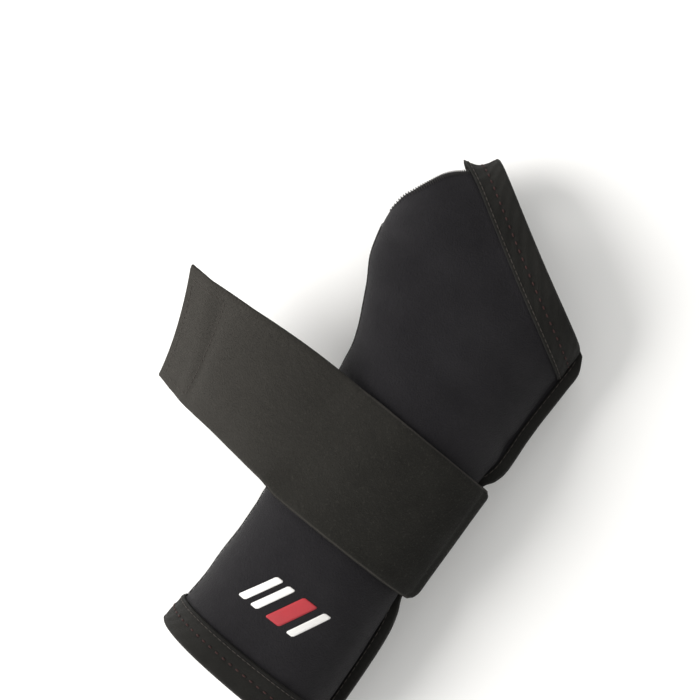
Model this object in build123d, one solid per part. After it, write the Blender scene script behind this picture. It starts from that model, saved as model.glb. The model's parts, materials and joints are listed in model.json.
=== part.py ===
from build123d import *
import math
import os

os.makedirs("parts", exist_ok=True)

# Right-hand wrist support brace, lying palm down. Millimetres.
# +Z is up (back of the hand), +Y runs along the forearm towards the fingers, -X is the thumb side.
# The origin is under the middle of the wrist, on the surface that the brace lies on.
#
# The sleeve is described by section planes that stand upright and turn like a fan, from square
# across the forearm to slanted along the knuckles. A station is where a plane crosses the Y axis.
# A place on a section is an angle: 0 little-finger side, 90 back, 180 thumb side, 270 palm.

# Overall sizes
forearm_reach = 89.5
hand_reach = 104.6
wrist_width = 64.6
wrist_depth = 42.0
hand_slant = 31.0

# Sheet, tape and thread sizes
neoprene = 3.0
tape = 1.2
hand_tape_width = 13.5
forearm_tape_width = 12.0
fin_height = 3.4
fin_thickness = 6.4
fin_shoulder = 0.6
seam_width = 5.0
thread = 0.4
stitch_width = 0.8
edge_inset = 1.6
overlock_width = 1.4
print_thickness = 0.2

# Clearances
lay_gap = 0.25
butt_gap = 0.6
serge_gap = 0.45
hinge_gap = 0.7
row_end_gap = 0.8
strap_side_gap = 3.0

# Strap sizes
strap_width = 50.0
strap = 2.0
strap_centre = -1.0
strap_clear = 0.4
fold_angle = 9.0
leave_x = -12.0
first_hinge_x = -26.0
palm_end_x = -22.0
link_length = 13.2
link_count = 4
tip_length = 19.6
hook_thickness = 1.2
hook_length = 17.0
hook_margin = 2.0

# Free end of the strap at rest: fall of each link and of the tip, in degrees, and where the width
# of the strap points at the very end
link_falls = (9.0, 8.0, 9.0, 12.0)
tip_fall = 17.0
free_heading = 4.0
tip_width_line = Vector(-0.22, 0.83, 0.52)

# Thumb hole, measured back from the hand edge
thumb_start = hand_reach - 42.6
thumb_end = hand_reach - 12.4
thumb_back_angle = 60.0
thumb_palm_angle = 52.0

# Section roundness: 2 is an ellipse, more is squarer
roundness = 2.3

# Sleeve form: station, thumb-side and little-finger-side half-widths, top, middle and bottom height
girth = wrist_width / 64.6
rise = wrist_depth / 42.0
reach = forearm_reach / 89.5
past = hand_reach - 104.6
sleeve_form = [
    (-89.5 * reach, 32.8 * girth, 35.0 * girth, 54.6 * rise, 28.0 * rise, 1.5 * rise),
    (-72.0 * reach, 31.2 * girth, 34.8 * girth, 54.4 * rise, 28.6 * rise, 2.0 * rise),
    (-46.0 * reach, 30.6 * girth, 33.8 * girth, 53.6 * rise, 29.5 * rise, 5.0 * rise),
    (-27.0, 31.2 * girth, 32.2 * girth, 52.8 * rise, 30.0 * rise, 8.2 * rise),
    (0.0, 32.6 * girth, 32.0 * girth, 51.8 * rise, 30.0 * rise, 9.8 * rise),
    (25.0, 35.2 * girth, 32.2 * girth, 50.3 * rise, 29.6 * rise, 9.0 * rise),
    (37.0 + past / 3, 39.6 * girth, 33.6 * girth, 49.2 * rise, 28.0 * rise, 7.2 * rise),
    (46.0 + past * 2 / 3, 47.0 * girth, 34.2 * girth, 48.0 * rise, 26.0 * rise, 5.4 * rise),
    (52.0 + past, 54.0 * girth, 34.6 * girth, 47.2 * rise, 25.0 * rise, 4.4 * rise),
    (61.0 + past, 59.6 * girth, 35.4 * girth, 45.8 * rise, 24.0 * rise, 3.2 * rise),
    (71.0 + past, 63.4 * girth, 36.8 * girth, 44.4 * rise, 23.0 * rise, 2.4 * rise),
    (80.0 + past, 62.0 * girth, 38.0 * girth, 43.0 * rise, 22.0 * rise, 1.9 * rise),
    (88.5 + past, 54.0 * girth, 38.8 * girth, 41.6 * rise, 21.2 * rise, 1.6 * rise),
    (96.0 + past, 43.5 * girth, 39.2 * girth, 40.2 * rise, 20.7 * rise, 1.5 * rise),
    (104.6 + past, 38.2 * girth, 39.5 * girth, 38.8 * rise, 20.3 * rise, 1.4 * rise),
]

# Turn of the section planes about Z: station, degrees
plane_turn = [
    (-89.5 * reach, 0.0),
    (-50.0 * reach, 1.0),
    (-25.0, 2.5),
    (0.0, 2.8),
    (25.0, 4.0),
    (45.0 + past * 2 / 3, 14.0),
    (60.0 + past, 22.0),
    (75.0 + past, 28.5),
    (90.0 + past, hand_slant),
    (104.6 + past, hand_slant),
]

# Half-angle that the thumb hole takes from each panel: station, share of the full cut
thumb_cut = [
    (thumb_start - 3.0, 0.0),
    (thumb_start, 0.07),
    (thumb_start + 3.5, 0.38),
    (thumb_start + 8.5, 0.78),
    (thumb_start + 16.0, 1.0),
    (thumb_end - 4.0, 0.92),
    (thumb_end, 0.8),
    (hand_reach, 0.72),
]


def along(table, station, column=1):
    """Smooth curve through a table's rows, flat beyond its ends."""
    if station <= table[0][0]:
        return table[0][column]
    if station >= table[-1][0]:
        return table[-1][column]
    index = 0
    while table[index + 1][0] < station:
        index += 1
    slopes = []
    for here in (index, index + 1):
        before = max(here - 1, 0)
        after = min(here + 1, len(table) - 1)
        rise_here = table[after][column] - table[before][column]
        slopes.append(rise_here / (table[after][0] - table[before][0]))
    span = table[index + 1][0] - table[index][0]
    part = (station - table[index][0]) / span
    low, high = table[index][column], table[index + 1][column]
    return (
        low * (2 * part**3 - 3 * part**2 + 1)
        + high * (3 * part**2 - 2 * part**3)
        + slopes[0] * span * (part**3 - 2 * part**2 + part)
        + slopes[1] * span * (part**3 - part**2)
    )


def signed_power(value, power):
    return math.copysign(abs(value) ** power, value)


def in_row(station, across, up):
    """A point of a section plane in the part's frame."""
    turn = math.radians(along(plane_turn, station))
    return Vector(across * math.cos(turn), station - across * math.sin(turn), up)


def on_section(station, angle, offset, little_extra=0.0):
    """Across and up of a place on the sleeve's outer face, moved outward by an offset."""
    cosine = math.cos(math.radians(angle))
    sine = math.sin(math.radians(angle))
    thumb_half = along(sleeve_form, station, 1)
    little_half = along(sleeve_form, station, 2) + little_extra
    top = along(sleeve_form, station, 3)
    middle = along(sleeve_form, station, 4)
    bottom = along(sleeve_form, station, 5)
    half = little_half if cosine > 0 else thumb_half
    height = top - middle if sine > 0 else middle - bottom
    power = 2 / roundness
    across = half * signed_power(cosine, power)
    up = height * signed_power(sine, power)
    normal_x = signed_power(across / half, roundness - 1) / half
    normal_z = signed_power(up / height, roundness - 1) / height
    size = math.hypot(normal_x, normal_z)
    return across + offset * normal_x / size, middle + up + offset * normal_z / size


def arc_points(station, angles, offset, little_extra=0.0):
    return [in_row(station, *on_section(station, angle, offset, little_extra)) for angle in angles]


def spread(first, last, count):
    return [first + (last - first) * index / (count - 1) for index in range(count)]


def band_face(inner, outer):
    """Flat face between two lines of points in one section plane."""
    edges = [
        Spline(inner),
        Line(inner[-1], outer[-1]),
        Spline(outer[::-1]),
        Line(outer[0], inner[0]),
    ]
    return Face(Wire(edges))


def shell_piece(stations, angles_at, inner_offset, outer_offset, count=17):
    """A curved slab of the sleeve's form, with its own angle range at each station."""
    faces = []
    for station in stations:
        angles = spread(*angles_at(station), count)
        inner = arc_points(station, angles, inner_offset)
        outer = arc_points(station, angles, outer_offset)
        faces.append(band_face(inner, outer))
    return loft(faces)


def arc_degrees(station, length, angle):
    """Degrees of section angle that span a length at a place."""
    here = Vector(*on_section(station, angle - 0.5, 0), 0)
    there = Vector(*on_section(station, angle + 0.5, 0), 0)
    return length / (there - here).length


def write(shape, node):
    """One STEP per piece, named for its node."""
    shape.label = node
    export_step(shape, f"parts/{node}.step")


# Neoprene panels: butt-joined on the thumb side, turned together into the fin on the other side
panel_stations = (
    spread(-forearm_reach, thumb_start - 16, 16)
    + spread(thumb_start - 12, hand_reach - hand_tape_width, 16)[:-1]
    + spread(hand_reach - hand_tape_width, hand_reach, 7)
)


def hole_cut(station, full):
    return (90 - full) * along(thumb_cut, station)


def back_edge(station):
    return 180 - arc_degrees(station, butt_gap / 2, 179) - hole_cut(station, thumb_back_angle)


def palm_edge(station):
    return 180 + arc_degrees(station, butt_gap / 2, 181) + hole_cut(station, thumb_palm_angle)


def back_angles(station):
    return arc_degrees(station, butt_gap / 2, 1), back_edge(station)


def palm_angles(station):
    return palm_edge(station), 360 - arc_degrees(station, butt_gap / 2, 359)


write(shell_piece(panel_stations, back_angles, -neoprene, 0, 25), "dorsal_panel")
write(shell_piece(panel_stations, palm_angles, -neoprene, 0, 25), "palmar_panel")


# Opening tapes: folded over the raw neoprene edge, open where the fin passes
def tape_angles(station):
    room = arc_degrees(station, fin_thickness / 2 + 2 * lay_gap + thread, 6)
    return room, 360 - room


def opening_tape(edge, inward, width):
    """Outer leg, inner leg and the fold over the edge; inward is the way back up the sleeve."""
    leg_stations = spread(edge + inward * width, edge, 7)
    leg_stations[-1] = edge - inward * lay_gap
    fold_stations = [edge - inward * lay_gap, edge - inward * (lay_gap + tape)]
    outer = shell_piece(leg_stations, tape_angles, lay_gap, lay_gap + tape, 33)
    inner_low = -neoprene - lay_gap - tape
    inner = shell_piece(leg_stations, tape_angles, inner_low, -neoprene - lay_gap, 33)
    fold = shell_piece(fold_stations, tape_angles, inner_low, lay_gap + tape, 33)
    return outer + fold + inner


write(opening_tape(hand_reach, -1, hand_tape_width), "hand_opening_binding")
write(opening_tape(-forearm_reach, 1, forearm_tape_width), "forearm_opening_binding")


# Little-finger-side binding: tape folded over the two panel edges that are turned out as a fin
def fin_face(station):
    reach_in = arc_degrees(station, fin_thickness / 2, 0)
    inner = arc_points(station, spread(-reach_in, reach_in, 9), lay_gap)
    half = fin_thickness / 2
    middle = along(sleeve_form, station, 4)
    outside = on_section(station, 0, lay_gap)[0]
    crest = in_row(station, outside + fin_height, middle)
    shoulder_x = outside + fin_height - half * fin_shoulder
    low = in_row(station, shoulder_x, middle - half)
    high = in_row(station, shoulder_x, middle + half)
    edges = [
        Spline(inner),
        Line(inner[-1], high),
        ThreePointArc(high, crest, low),
        Line(low, inner[0]),
    ]
    return Face(Wire(edges))


fin_start = -forearm_reach - lay_gap - tape
fin_end = hand_reach + lay_gap + tape
write(loft([fin_face(station) for station in spread(fin_start, fin_end, 22)]), "ulnar_binding")


# Thumb hole edge: serged thread over the cut edges of both panels
overlock_start = 2.4


def serged_edge(edge_at, outward):
    """outward is +1 where the hole lies at larger angles, -1 where at smaller ones."""

    def angles(station):
        edge = edge_at(station)
        first = edge + outward * arc_degrees(station, serge_gap, edge)
        last = edge + outward * arc_degrees(station, serge_gap + overlock_width, edge)
        return first, last

    stations = spread(thumb_start + overlock_start, hand_reach - hand_tape_width - butt_gap, 10)
    return shell_piece(stations, angles, -neoprene - thread, thread, 3)


write(
    Compound(children=[serged_edge(back_edge, 1), serged_edge(palm_edge, -1)]),
    "thumb_opening_overlock",
)

# Thumb-side flat seam: zigzag thread over the butt joint, from the forearm tape to the thumb hole
seam_stations = spread(
    -forearm_reach + forearm_tape_width + row_end_gap, thumb_start - row_end_gap, 15
)


def seam_angles(station):
    half = arc_degrees(station, seam_width / 2, 180)
    return 180 - half, 180 + half


write(shell_piece(seam_stations, seam_angles, lay_gap, lay_gap + thread, 5), "radial_flat_seam")


# Stitch rows on the opening tapes: left out along the strip that the brace lies on
stitched_arcs = ((12, 226), (314, 348))


def stitch_row(station, width):
    stations = [station - width / 2, station + width / 2]
    low = 2 * lay_gap + tape
    pieces = []
    for first, last in stitched_arcs:
        pieces.append(shell_piece(stations, lambda _: (first, last), low, low + thread, 21))
    return Compound(children=pieces)


write(stitch_row(hand_reach - hand_tape_width / 2, stitch_width), "hand_binding_centre_stitching")
write(
    stitch_row(hand_reach - hand_tape_width + edge_inset, stitch_width),
    "hand_binding_edge_stitching",
)
write(
    stitch_row(-forearm_reach + forearm_tape_width / 2, stitch_width),
    "forearm_binding_centre_stitching",
)
write(
    stitch_row(-forearm_reach + forearm_tape_width - edge_inset, stitch_width),
    "forearm_binding_edge_stitching",
)

# Stitch rows along the fin, on its two flat sides
fin_stitch_inset = 0.5


def fin_stitch(stations, side):
    faces = []
    for station in stations:
        middle = along(sleeve_form, station, 4)
        across = on_section(station, 0, lay_gap)[0] + fin_stitch_inset
        low = fin_thickness / 2 + lay_gap / 2
        corners = [
            in_row(station, across + shift, middle + side * height)
            for shift, height in (
                (0, low),
                (stitch_width, low),
                (stitch_width, low + thread),
                (0, low + thread),
            )
        ]
        faces.append(Face(Wire.make_polygon(corners)))
    return loft(faces)


fin_end_inset = 2.0
hand_stations = spread(strap_centre + strap_width / 2 + strap_side_gap, fin_end - fin_end_inset, 10)
forearm_stations = spread(
    fin_start + fin_end_inset, strap_centre - strap_width / 2 - strap_side_gap, 9
)
fin_rows = [
    fin_stitch(stations, side) for stations in (hand_stations, forearm_stations) for side in (1, -1)
]
write(Compound(children=fin_rows), "ulnar_binding_stitching")

# Strap on the sleeve: it lies on the sleeve's form, widened so that it also goes round the fin
strap_stations = spread(strap_centre - strap_width / 2, strap_centre + strap_width / 2, 7)
fold_extra = lay_gap + fin_height


def angle_at(station, across, lower=False):
    """Angle where the thumb-side half of a section is so far across."""
    half = along(sleeve_form, station, 1)
    angle = 180 - math.degrees(math.acos((-across / half) ** (roundness / 2)))
    return 360 - angle if lower else angle


def strap_face(station, line, thickness):
    """Section of a strip from the points of its inner face, in across and up."""
    inner = []
    outer = []
    for index, (across, up) in enumerate(line):
        before = line[max(index - 1, 0)]
        after = line[min(index + 1, len(line) - 1)]
        run_x = after[0] - before[0]
        run_z = after[1] - before[1]
        size = math.hypot(run_x, run_z)
        inner.append(in_row(station, across, up))
        shifted = (across + thickness * run_z / size, up - thickness * run_x / size)
        outer.append(in_row(station, *shifted))
    return band_face(inner, outer)


def back_line(station, lean):
    """Inner face over the back: from the fold, over the crown, then straight off the sleeve."""
    last = angle_at(station, leave_x)
    gap_degrees = arc_degrees(station, hinge_gap, 0)
    angles = spread(fold_angle + gap_degrees, 90, 10) + spread(90, last, 6)[1:]
    line = [on_section(station, angle, strap_clear, fold_extra) for angle in angles]
    run_x = line[-1][0] - line[-2][0]
    run_z = line[-1][1] - line[-2][1]
    leave_across, leave_up = line[-1]
    end_across = first_hinge_x + hinge_gap / 2 + lean * (station - strap_centre)
    for share in (0.5, 1.0):
        step = (end_across - leave_across) * share
        line.append((leave_across + step, leave_up + step * run_z / run_x))
    return line


def palm_line(station):
    """Inner face under the palm side and round the fin, up to the fold hinge."""
    first = angle_at(station, palm_end_x, lower=True)
    angles = spread(first, 360, 14) + spread(360, 360 + fold_angle, 4)[1:]
    return [on_section(station, angle, strap_clear, fold_extra) for angle in angles]


# Links of the strap's free end: each has its own fall and twist, and the first goes on from the
# edge of the run over the back
end_points = [
    in_row(station, *back_line(station, 0)[-1]) for station in (strap_stations[0], strap_stations[-1])
]
end_line = (end_points[1] - end_points[0]).normalized()


def link_frame(share, fall):
    """Way out, width line and outward normal of one link."""
    level = math.cos(math.radians(fall))
    heading = math.radians(free_heading)
    way = Vector(-level * math.cos(heading), level * math.sin(heading), -math.sin(math.radians(fall)))
    width_line = end_line * (1 - share) + tip_width_line * share
    width_line = (width_line - way * width_line.dot(way)).normalized()
    return way, width_line, width_line.cross(way)


link_shares = (0.0, 0.24, 0.5, 0.76)
frames = [link_frame(share, fall) for share, fall in zip(link_shares, link_falls)]
frames.append(link_frame(1.0, tip_fall))
first_lean = frames[0][1].X / frames[0][1].Y

back_lines = [back_line(station, first_lean) for station in strap_stations]
back_faces = [
    strap_face(station, line, strap) for station, line in zip(strap_stations, back_lines)
]
palm_faces = [strap_face(station, palm_line(station), strap) for station in strap_stations]
write(loft(back_faces), "strap_dorsal_run")
write(loft(palm_faces), "strap_palmar_run")


# Anchor stitching: a sewn box through the strap and the palmar panel, on the strap's outer face
def anchor_line(first_station, last_station, first_x, last_x):
    faces = []
    for station in spread(first_station, last_station, 3):
        line = []
        for across in spread(first_x, last_x, 4):
            angle = angle_at(station, across, lower=True)
            line.append(on_section(station, angle, strap_clear + strap + lay_gap))
        faces.append(strap_face(station, line, thread))
    return loft(faces)


anchor_inset = 3.0
anchor_length = 10.0
corner_gap = 0.4
anchor_low = strap_centre - strap_width / 2 + anchor_inset
anchor_high = strap_centre + strap_width / 2 - anchor_inset
anchor_near = palm_end_x + anchor_inset
anchor_far = anchor_near + anchor_length
side_near = anchor_near + stitch_width + corner_gap
side_far = anchor_far - corner_gap
anchor = [
    anchor_line(anchor_low, anchor_high, anchor_near, anchor_near + stitch_width),
    anchor_line(anchor_low, anchor_high, anchor_far, anchor_far + stitch_width),
    anchor_line(anchor_low, anchor_low + stitch_width, side_near, side_far),
    anchor_line(anchor_high - stitch_width, anchor_high, side_near, side_far),
]
write(Compound(children=anchor), "strap_anchor_stitching")


# Free end of the strap: flat links, then the tip
def slab(start, frame, first, last, low, high, width, shift=0.0):
    """Box along a link: from first to last along it, from low to high off its inner face."""
    way, width_line, up = frame
    centre = start + way * ((first + last) / 2) + up * ((low + high) / 2) + width_line * shift
    plane = Plane(origin=centre, x_dir=way, z_dir=up)
    return plane * Box(last - first, width, high - low)


hinge_z = back_line(strap_centre, first_lean)[-1][1]
hinge_points = [in_row(strap_centre, first_hinge_x, hinge_z)]
for index in range(link_count):
    start = hinge_points[-1]
    way = frames[index][0]
    body = slab(start, frames[index], hinge_gap / 2, link_length - hinge_gap / 2, 0, strap, strap_width)
    write(body, f"strap_side_run_{index + 1}")
    hinge_points.append(start + way * link_length)

tip_start = hinge_points[-1]
tip_frame = frames[-1]
tip = slab(tip_start, tip_frame, hinge_gap / 2, tip_length, 0, strap, strap_width)
write(tip, "strap_tip")

# Hook patch on the inner face of the tip, and its stitching seen on the strap's outer face
hook_last = tip_length - hook_margin / 2
hook_first = hook_last - hook_length
hook_width = strap_width - 2 * hook_margin
hook = slab(
    tip_start, tip_frame, hook_first, hook_last, -lay_gap - hook_thickness, -lay_gap, hook_width
)
write(hook, "hook_patch")


def tip_stitch(first, last, width, shift=0.0):
    low = strap + lay_gap
    return slab(tip_start, tip_frame, first, last, low, low + thread, width, shift)


row_first = hook_first + edge_inset
row_last = hook_last - edge_inset
row_shift = hook_width / 2 - edge_inset
side_first = row_first + stitch_width + corner_gap
side_last = row_last - stitch_width - corner_gap
hook_rows = [
    tip_stitch(row_first, row_first + stitch_width, 2 * row_shift),
    tip_stitch(row_last - stitch_width, row_last, 2 * row_shift),
    tip_stitch(side_first, side_last, stitch_width, row_shift - stitch_width / 2),
    tip_stitch(side_first, side_last, stitch_width, stitch_width / 2 - row_shift),
]
write(Compound(children=hook_rows), "hook_patch_stitching")


# Printed decoration on the forearm: plain slanted bars
print_low = -62.0
print_high = -48.0
bar_width = 3.2
bar_lean = 0.55
white_places = (-17.0, -11.5, 5.0)
red_place = -4.5


def angle_over_back(station, across):
    """Angle of a place on the back, on either side of the middle."""
    if across < 0:
        return angle_at(station, across)
    half = along(sleeve_form, station, 2)
    return math.degrees(math.acos((across / half) ** (roundness / 2)))


def print_bar(left, width):
    """Bar between the two print stations, leaning across as it goes."""
    faces = []
    for station in spread(print_low, print_high, 3):
        lean = bar_lean * (station - print_low)
        first = angle_over_back(station, left + width + lean)
        last = angle_over_back(station, left + lean)
        faces.append(
            band_face(
                arc_points(station, spread(first, last, 5), lay_gap),
                arc_points(station, spread(first, last, 5), lay_gap + print_thickness),
            )
        )
    return loft(faces)


white_bars = [print_bar(left, bar_width) for left in white_places]
write(Compound(children=white_bars), "print_bars_white")
write(print_bar(red_place, 2 * bar_width), "print_bar_red")

# Where the fold hinge and the strap hinges lie, and how each link is turned, for the joints
fold_line = [
    in_row(station, *on_section(station, fold_angle, strap_clear + strap, fold_extra))
    for station in (strap_stations[0], strap_stations[-1])
]
print("fold hinge", fold_line)
print("hinge points", hinge_points)
print("frames", frames)
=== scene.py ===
import json
import math

import bpy
import numpy as np
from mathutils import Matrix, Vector


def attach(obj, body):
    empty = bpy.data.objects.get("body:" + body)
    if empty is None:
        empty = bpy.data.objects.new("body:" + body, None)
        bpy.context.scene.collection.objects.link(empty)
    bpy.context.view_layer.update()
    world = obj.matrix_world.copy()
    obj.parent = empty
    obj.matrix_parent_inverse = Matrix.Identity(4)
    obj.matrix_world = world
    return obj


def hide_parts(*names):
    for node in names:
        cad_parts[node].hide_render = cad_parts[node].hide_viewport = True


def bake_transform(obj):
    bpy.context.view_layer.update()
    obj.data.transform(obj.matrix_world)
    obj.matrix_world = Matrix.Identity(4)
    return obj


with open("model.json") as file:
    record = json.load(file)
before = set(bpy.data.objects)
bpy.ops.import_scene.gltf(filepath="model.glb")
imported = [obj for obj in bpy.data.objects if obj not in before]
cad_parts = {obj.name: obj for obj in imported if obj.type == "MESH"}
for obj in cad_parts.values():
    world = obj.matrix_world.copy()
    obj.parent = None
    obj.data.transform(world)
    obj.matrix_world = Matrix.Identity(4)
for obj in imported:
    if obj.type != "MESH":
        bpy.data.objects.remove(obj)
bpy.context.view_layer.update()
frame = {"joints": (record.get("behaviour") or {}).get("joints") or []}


# ---- Neoprene panels -------------------------------------------------------------------------
# The sleeve is two panels of 3 mm foam rubber with a thin black knit on both faces: one over the
# back of the hand and wrist, one under the palm. Along the little-finger side their edges turn out
# together into a fin; on the thumb side they butt, and part again around the thumb hole.

# Lengths are in millimetres until a mesh is made. A station is a place along the sleeve, and an
# angle goes round it: 0 is the little-finger side, 90 the back, 180 the thumb side, 270 the palm.
sleeve_form = np.array([
    # station, thumb-side half, little-finger half, top, middle, bottom
    (-89.5, 32.8, 35.0, 54.6, 28.0, 1.5),
    (-72.0, 31.2, 34.8, 54.4, 28.6, 2.0),
    (-46.0, 30.6, 33.8, 53.6, 29.5, 5.0),
    (-27.0, 31.2, 32.2, 52.8, 30.0, 8.2),
    (0.0, 32.6, 32.0, 51.8, 30.0, 9.8),
    (25.0, 35.2, 32.2, 50.3, 29.6, 9.0),
    (37.0, 39.6, 33.6, 49.2, 28.0, 7.2),
    (46.0, 47.0, 34.2, 48.0, 26.0, 5.4),
    (52.0, 54.0, 34.6, 47.2, 25.0, 4.4),
    (61.0, 59.6, 35.4, 45.8, 24.0, 3.2),
    (71.0, 63.4, 36.8, 44.4, 23.0, 2.4),
    (80.0, 62.0, 38.0, 43.0, 22.0, 1.9),
    (88.5, 54.0, 38.8, 41.6, 21.2, 1.6),
    (96.0, 43.5, 39.2, 40.2, 20.7, 1.5),
    (104.6, 38.2, 39.5, 38.8, 20.3, 1.4),
])
section_turn = np.array([
    # station, degrees by which the section planes turn, like a fan
    (-89.5, 4.5), (-74.0, 2.6), (-50.0, 1.6), (-25.0, 2.5), (0.0, 2.8), (25.0, 4.0),
    (45.0, 14.0), (60.0, 22.0), (75.0, 28.5), (90.0, 31.0), (104.6, 31.0),
])
thumb_cut = np.array([
    # station, how far the thumb hole is open there, as a share of its full angle
    (59.0, 0.0), (62.0, 0.07), (65.5, 0.38), (70.5, 0.78),
    (78.0, 1.0), (88.2, 0.92), (92.2, 0.8), (104.6, 0.72),
])
forearm_edge = -89.5
hand_edge = 104.6
panel_thickness = 3.0
section_roundness = 2.3
butt_gap = 0.6
thumb_back_angle = 60.0
thumb_palm_angle = 52.0
scoop_depth = 1.7
scoop_half = 38.0
fin_reach = np.array([
    # station, how far the turned-out edges stand past the section: pinched at the strap's edges
    (-89.5, 2.4), (-85.5, 3.6), (-60.0, 3.9), (-40.0, 3.6), (-33.0, 2.6), (-26.5, 0.7),
    (-18.0, 2.4), (14.0, 2.5), (24.3, 1.2), (30.0, 3.4), (45.0, 4.6), (96.0, 5.8),
    (101.2, 5.5), (104.6, 3.2),
])
fin_half = 3.1
fin_joint_gap = 0.3
fin_squeeze = 0.97
fin_ease = 1.05


def along(table, station, column=1):
    """Smooth curve through a table's rows, flat beyond its ends."""
    rows = table[:, 0]
    station = np.clip(np.asarray(station, float), rows[0], rows[-1])
    index = np.clip(np.searchsorted(rows, station, side="left") - 1, 0, len(rows) - 2)
    values = table[:, column]

    def slope(here):
        before = np.maximum(here - 1, 0)
        after = np.minimum(here + 1, len(rows) - 1)
        return (values[after] - values[before]) / (rows[after] - rows[before])

    span = rows[index + 1] - rows[index]
    part = (station - rows[index]) / span
    return (
        values[index] * (2 * part**3 - 3 * part**2 + 1)
        + values[index + 1] * (3 * part**2 - 2 * part**3)
        + slope(index) * span * (part**3 - 2 * part**2 + part)
        + slope(index + 1) * span * (part**3 - part**2)
    )


def smooth_step(low, high, value):
    """0 below low, 1 above high, easing between."""
    part = np.clip((np.asarray(value, float) - low) / (high - low), 0, 1)
    return part * part * (3 - 2 * part)


def signed_power(value, power):
    """A power of a value's size that keeps its sign."""
    return np.sign(value) * np.abs(value) ** power


def in_row(station, across, up):
    """Points of the section planes, which turn like a fan, in the shared frame."""
    turn = np.radians(along(section_turn, station))
    bow = np.clip(1 - (across / scoop_half) ** 2, 0, 1)
    scooped = scoop_depth * smooth_step(72, 102, station) * bow
    forward = station - scooped - across * np.sin(turn)
    return np.stack([across * np.cos(turn), forward, up + 0 * across], -1)


def on_section(station, angle, offset, widen=0.0):
    """How far across and up a place on a section is, moved outward by an offset."""
    station, angle, offset = np.broadcast_arrays(
        np.asarray(station, float), np.asarray(angle, float), np.asarray(offset, float)
    )
    cosine = np.cos(np.radians(angle))
    sine = np.sin(np.radians(angle))
    middle = along(sleeve_form, station, 4)
    little_half = along(sleeve_form, station, 2) + widen
    half = np.where(cosine > 0, little_half, along(sleeve_form, station, 1))
    top_height = along(sleeve_form, station, 3) - middle
    height = np.where(sine > 0, top_height, middle - along(sleeve_form, station, 5))
    across = half * signed_power(cosine, 2 / section_roundness)
    up = height * signed_power(sine, 2 / section_roundness)
    normal_x = signed_power(across / half, section_roundness - 1) / half
    normal_z = signed_power(up / height, section_roundness - 1) / height
    size = np.hypot(normal_x, normal_z)
    return across + offset * normal_x / size, middle + up + offset * normal_z / size


def arc_degrees(station, length, angle):
    """Degrees of section angle that span a length at a place."""
    here = np.array(on_section(station, angle - 0.5, 0.0))
    there = np.array(on_section(station, angle + 0.5, 0.0))
    return length / np.hypot(*(there - here))


def soft_wave(station, angle):
    """Slight give of worn foam rubber: nearly none under the strap, a little at the wrist bend."""
    turn = np.radians(angle)
    wave = (
        0.5 * np.sin(0.19 * station + 1.6 * np.sin(turn + 0.7))
        + 0.3 * np.sin(0.33 * station - 1.4 * np.sin(2 * turn) + 1.1)
        + 0.2 * np.sin(0.11 * station + 3.0 * turn)
        - 0.7
    )
    clear_of_strap = 1 - smooth_step(-34, -28, station) * (1 - smooth_step(26, 34, station))
    bend = np.exp(-(((station - 44) / 12) ** 2))
    edges = smooth_step(-89, -72, station) * (1 - smooth_step(88, 92, station))
    web = np.exp(-(((station - 58) / 7) ** 2) - ((angle - 158) / 16) ** 2)
    creases = -0.35 * web * (1 - np.cos(0.9 * station + 0.11 * (angle - 150)))
    return (0.3 + 0.45 * bend) * clear_of_strap * edges * wave + creases * clear_of_strap


def sleeve_point(station, angle, offset):
    """A place on the sleeve with its slight wave, moved outward by an offset."""
    station, angle = np.broadcast_arrays(np.asarray(station, float), np.asarray(angle, float))
    return in_row(station, *on_section(station, angle, offset + soft_wave(station, angle)))


def back_edge(station):
    """Angle where the back panel ends on the thumb side, cut away round the thumb hole."""
    hole = (90 - thumb_back_angle) * along(thumb_cut, station)
    return 180 - arc_degrees(station, butt_gap / 2, 179) - hole


def palm_edge(station):
    """Angle where the palm panel ends on the thumb side, cut away round the thumb hole."""
    hole = (90 - thumb_palm_angle) * along(thumb_cut, station)
    return 180 + arc_degrees(station, butt_gap / 2, 181) + hole


def sheet_faces(rows, columns, wrap=False):
    """Quads of a grid of rows and columns, with the last column joined to the first if wrapped."""
    row, column = np.mgrid[0 : rows - 1, 0 : columns if wrap else columns - 1]
    beside = (column + 1) % columns
    corners = [row * columns + column, row * columns + beside]
    corners += [(row + 1) * columns + beside, (row + 1) * columns + column]
    return np.stack(corners, -1).reshape(-1, 4).tolist()


def end_faces(rows, columns):
    """The two flat ends of a tube of rings."""
    return [list(range(columns))[::-1], list(range((rows - 1) * columns, rows * columns))]


def make_piece(name, points, faces, material, map_points, flat_faces=0):
    """A mesh object from millimetre points; the last flat_faces faces get sharp borders."""
    mesh = bpy.data.meshes.new(name)
    mesh.from_pydata((np.asarray(points, float).reshape(-1, 3) / 1000).tolist(), [], faces)
    mesh.shade_smooth()
    layer = mesh.uv_layers.new(name="cloth")
    corner = np.empty(len(mesh.loops), dtype=np.int32)
    mesh.loops.foreach_get("vertex_index", corner)
    flat_map = np.asarray(map_points, float).reshape(-1, 2)[corner]
    layer.data.foreach_set("uv", flat_map.ravel().astype(np.float32))
    if flat_faces:
        times_used = {}
        for polygon in list(mesh.polygons)[-flat_faces:]:
            polygon.use_smooth = False
            for key in polygon.edge_keys:
                times_used[key] = times_used.get(key, 0) + 1
        sharp = mesh.attributes.new("sharp_edge", "BOOLEAN", "EDGE")
        for edge in mesh.edges:
            sharp.data[edge.index].value = times_used.get(edge.key, 0) == 1
    mesh.materials.append(material)
    mesh.validate()
    piece = bpy.data.objects.new(name, mesh)
    bpy.context.collection.objects.link(piece)
    return piece


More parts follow.
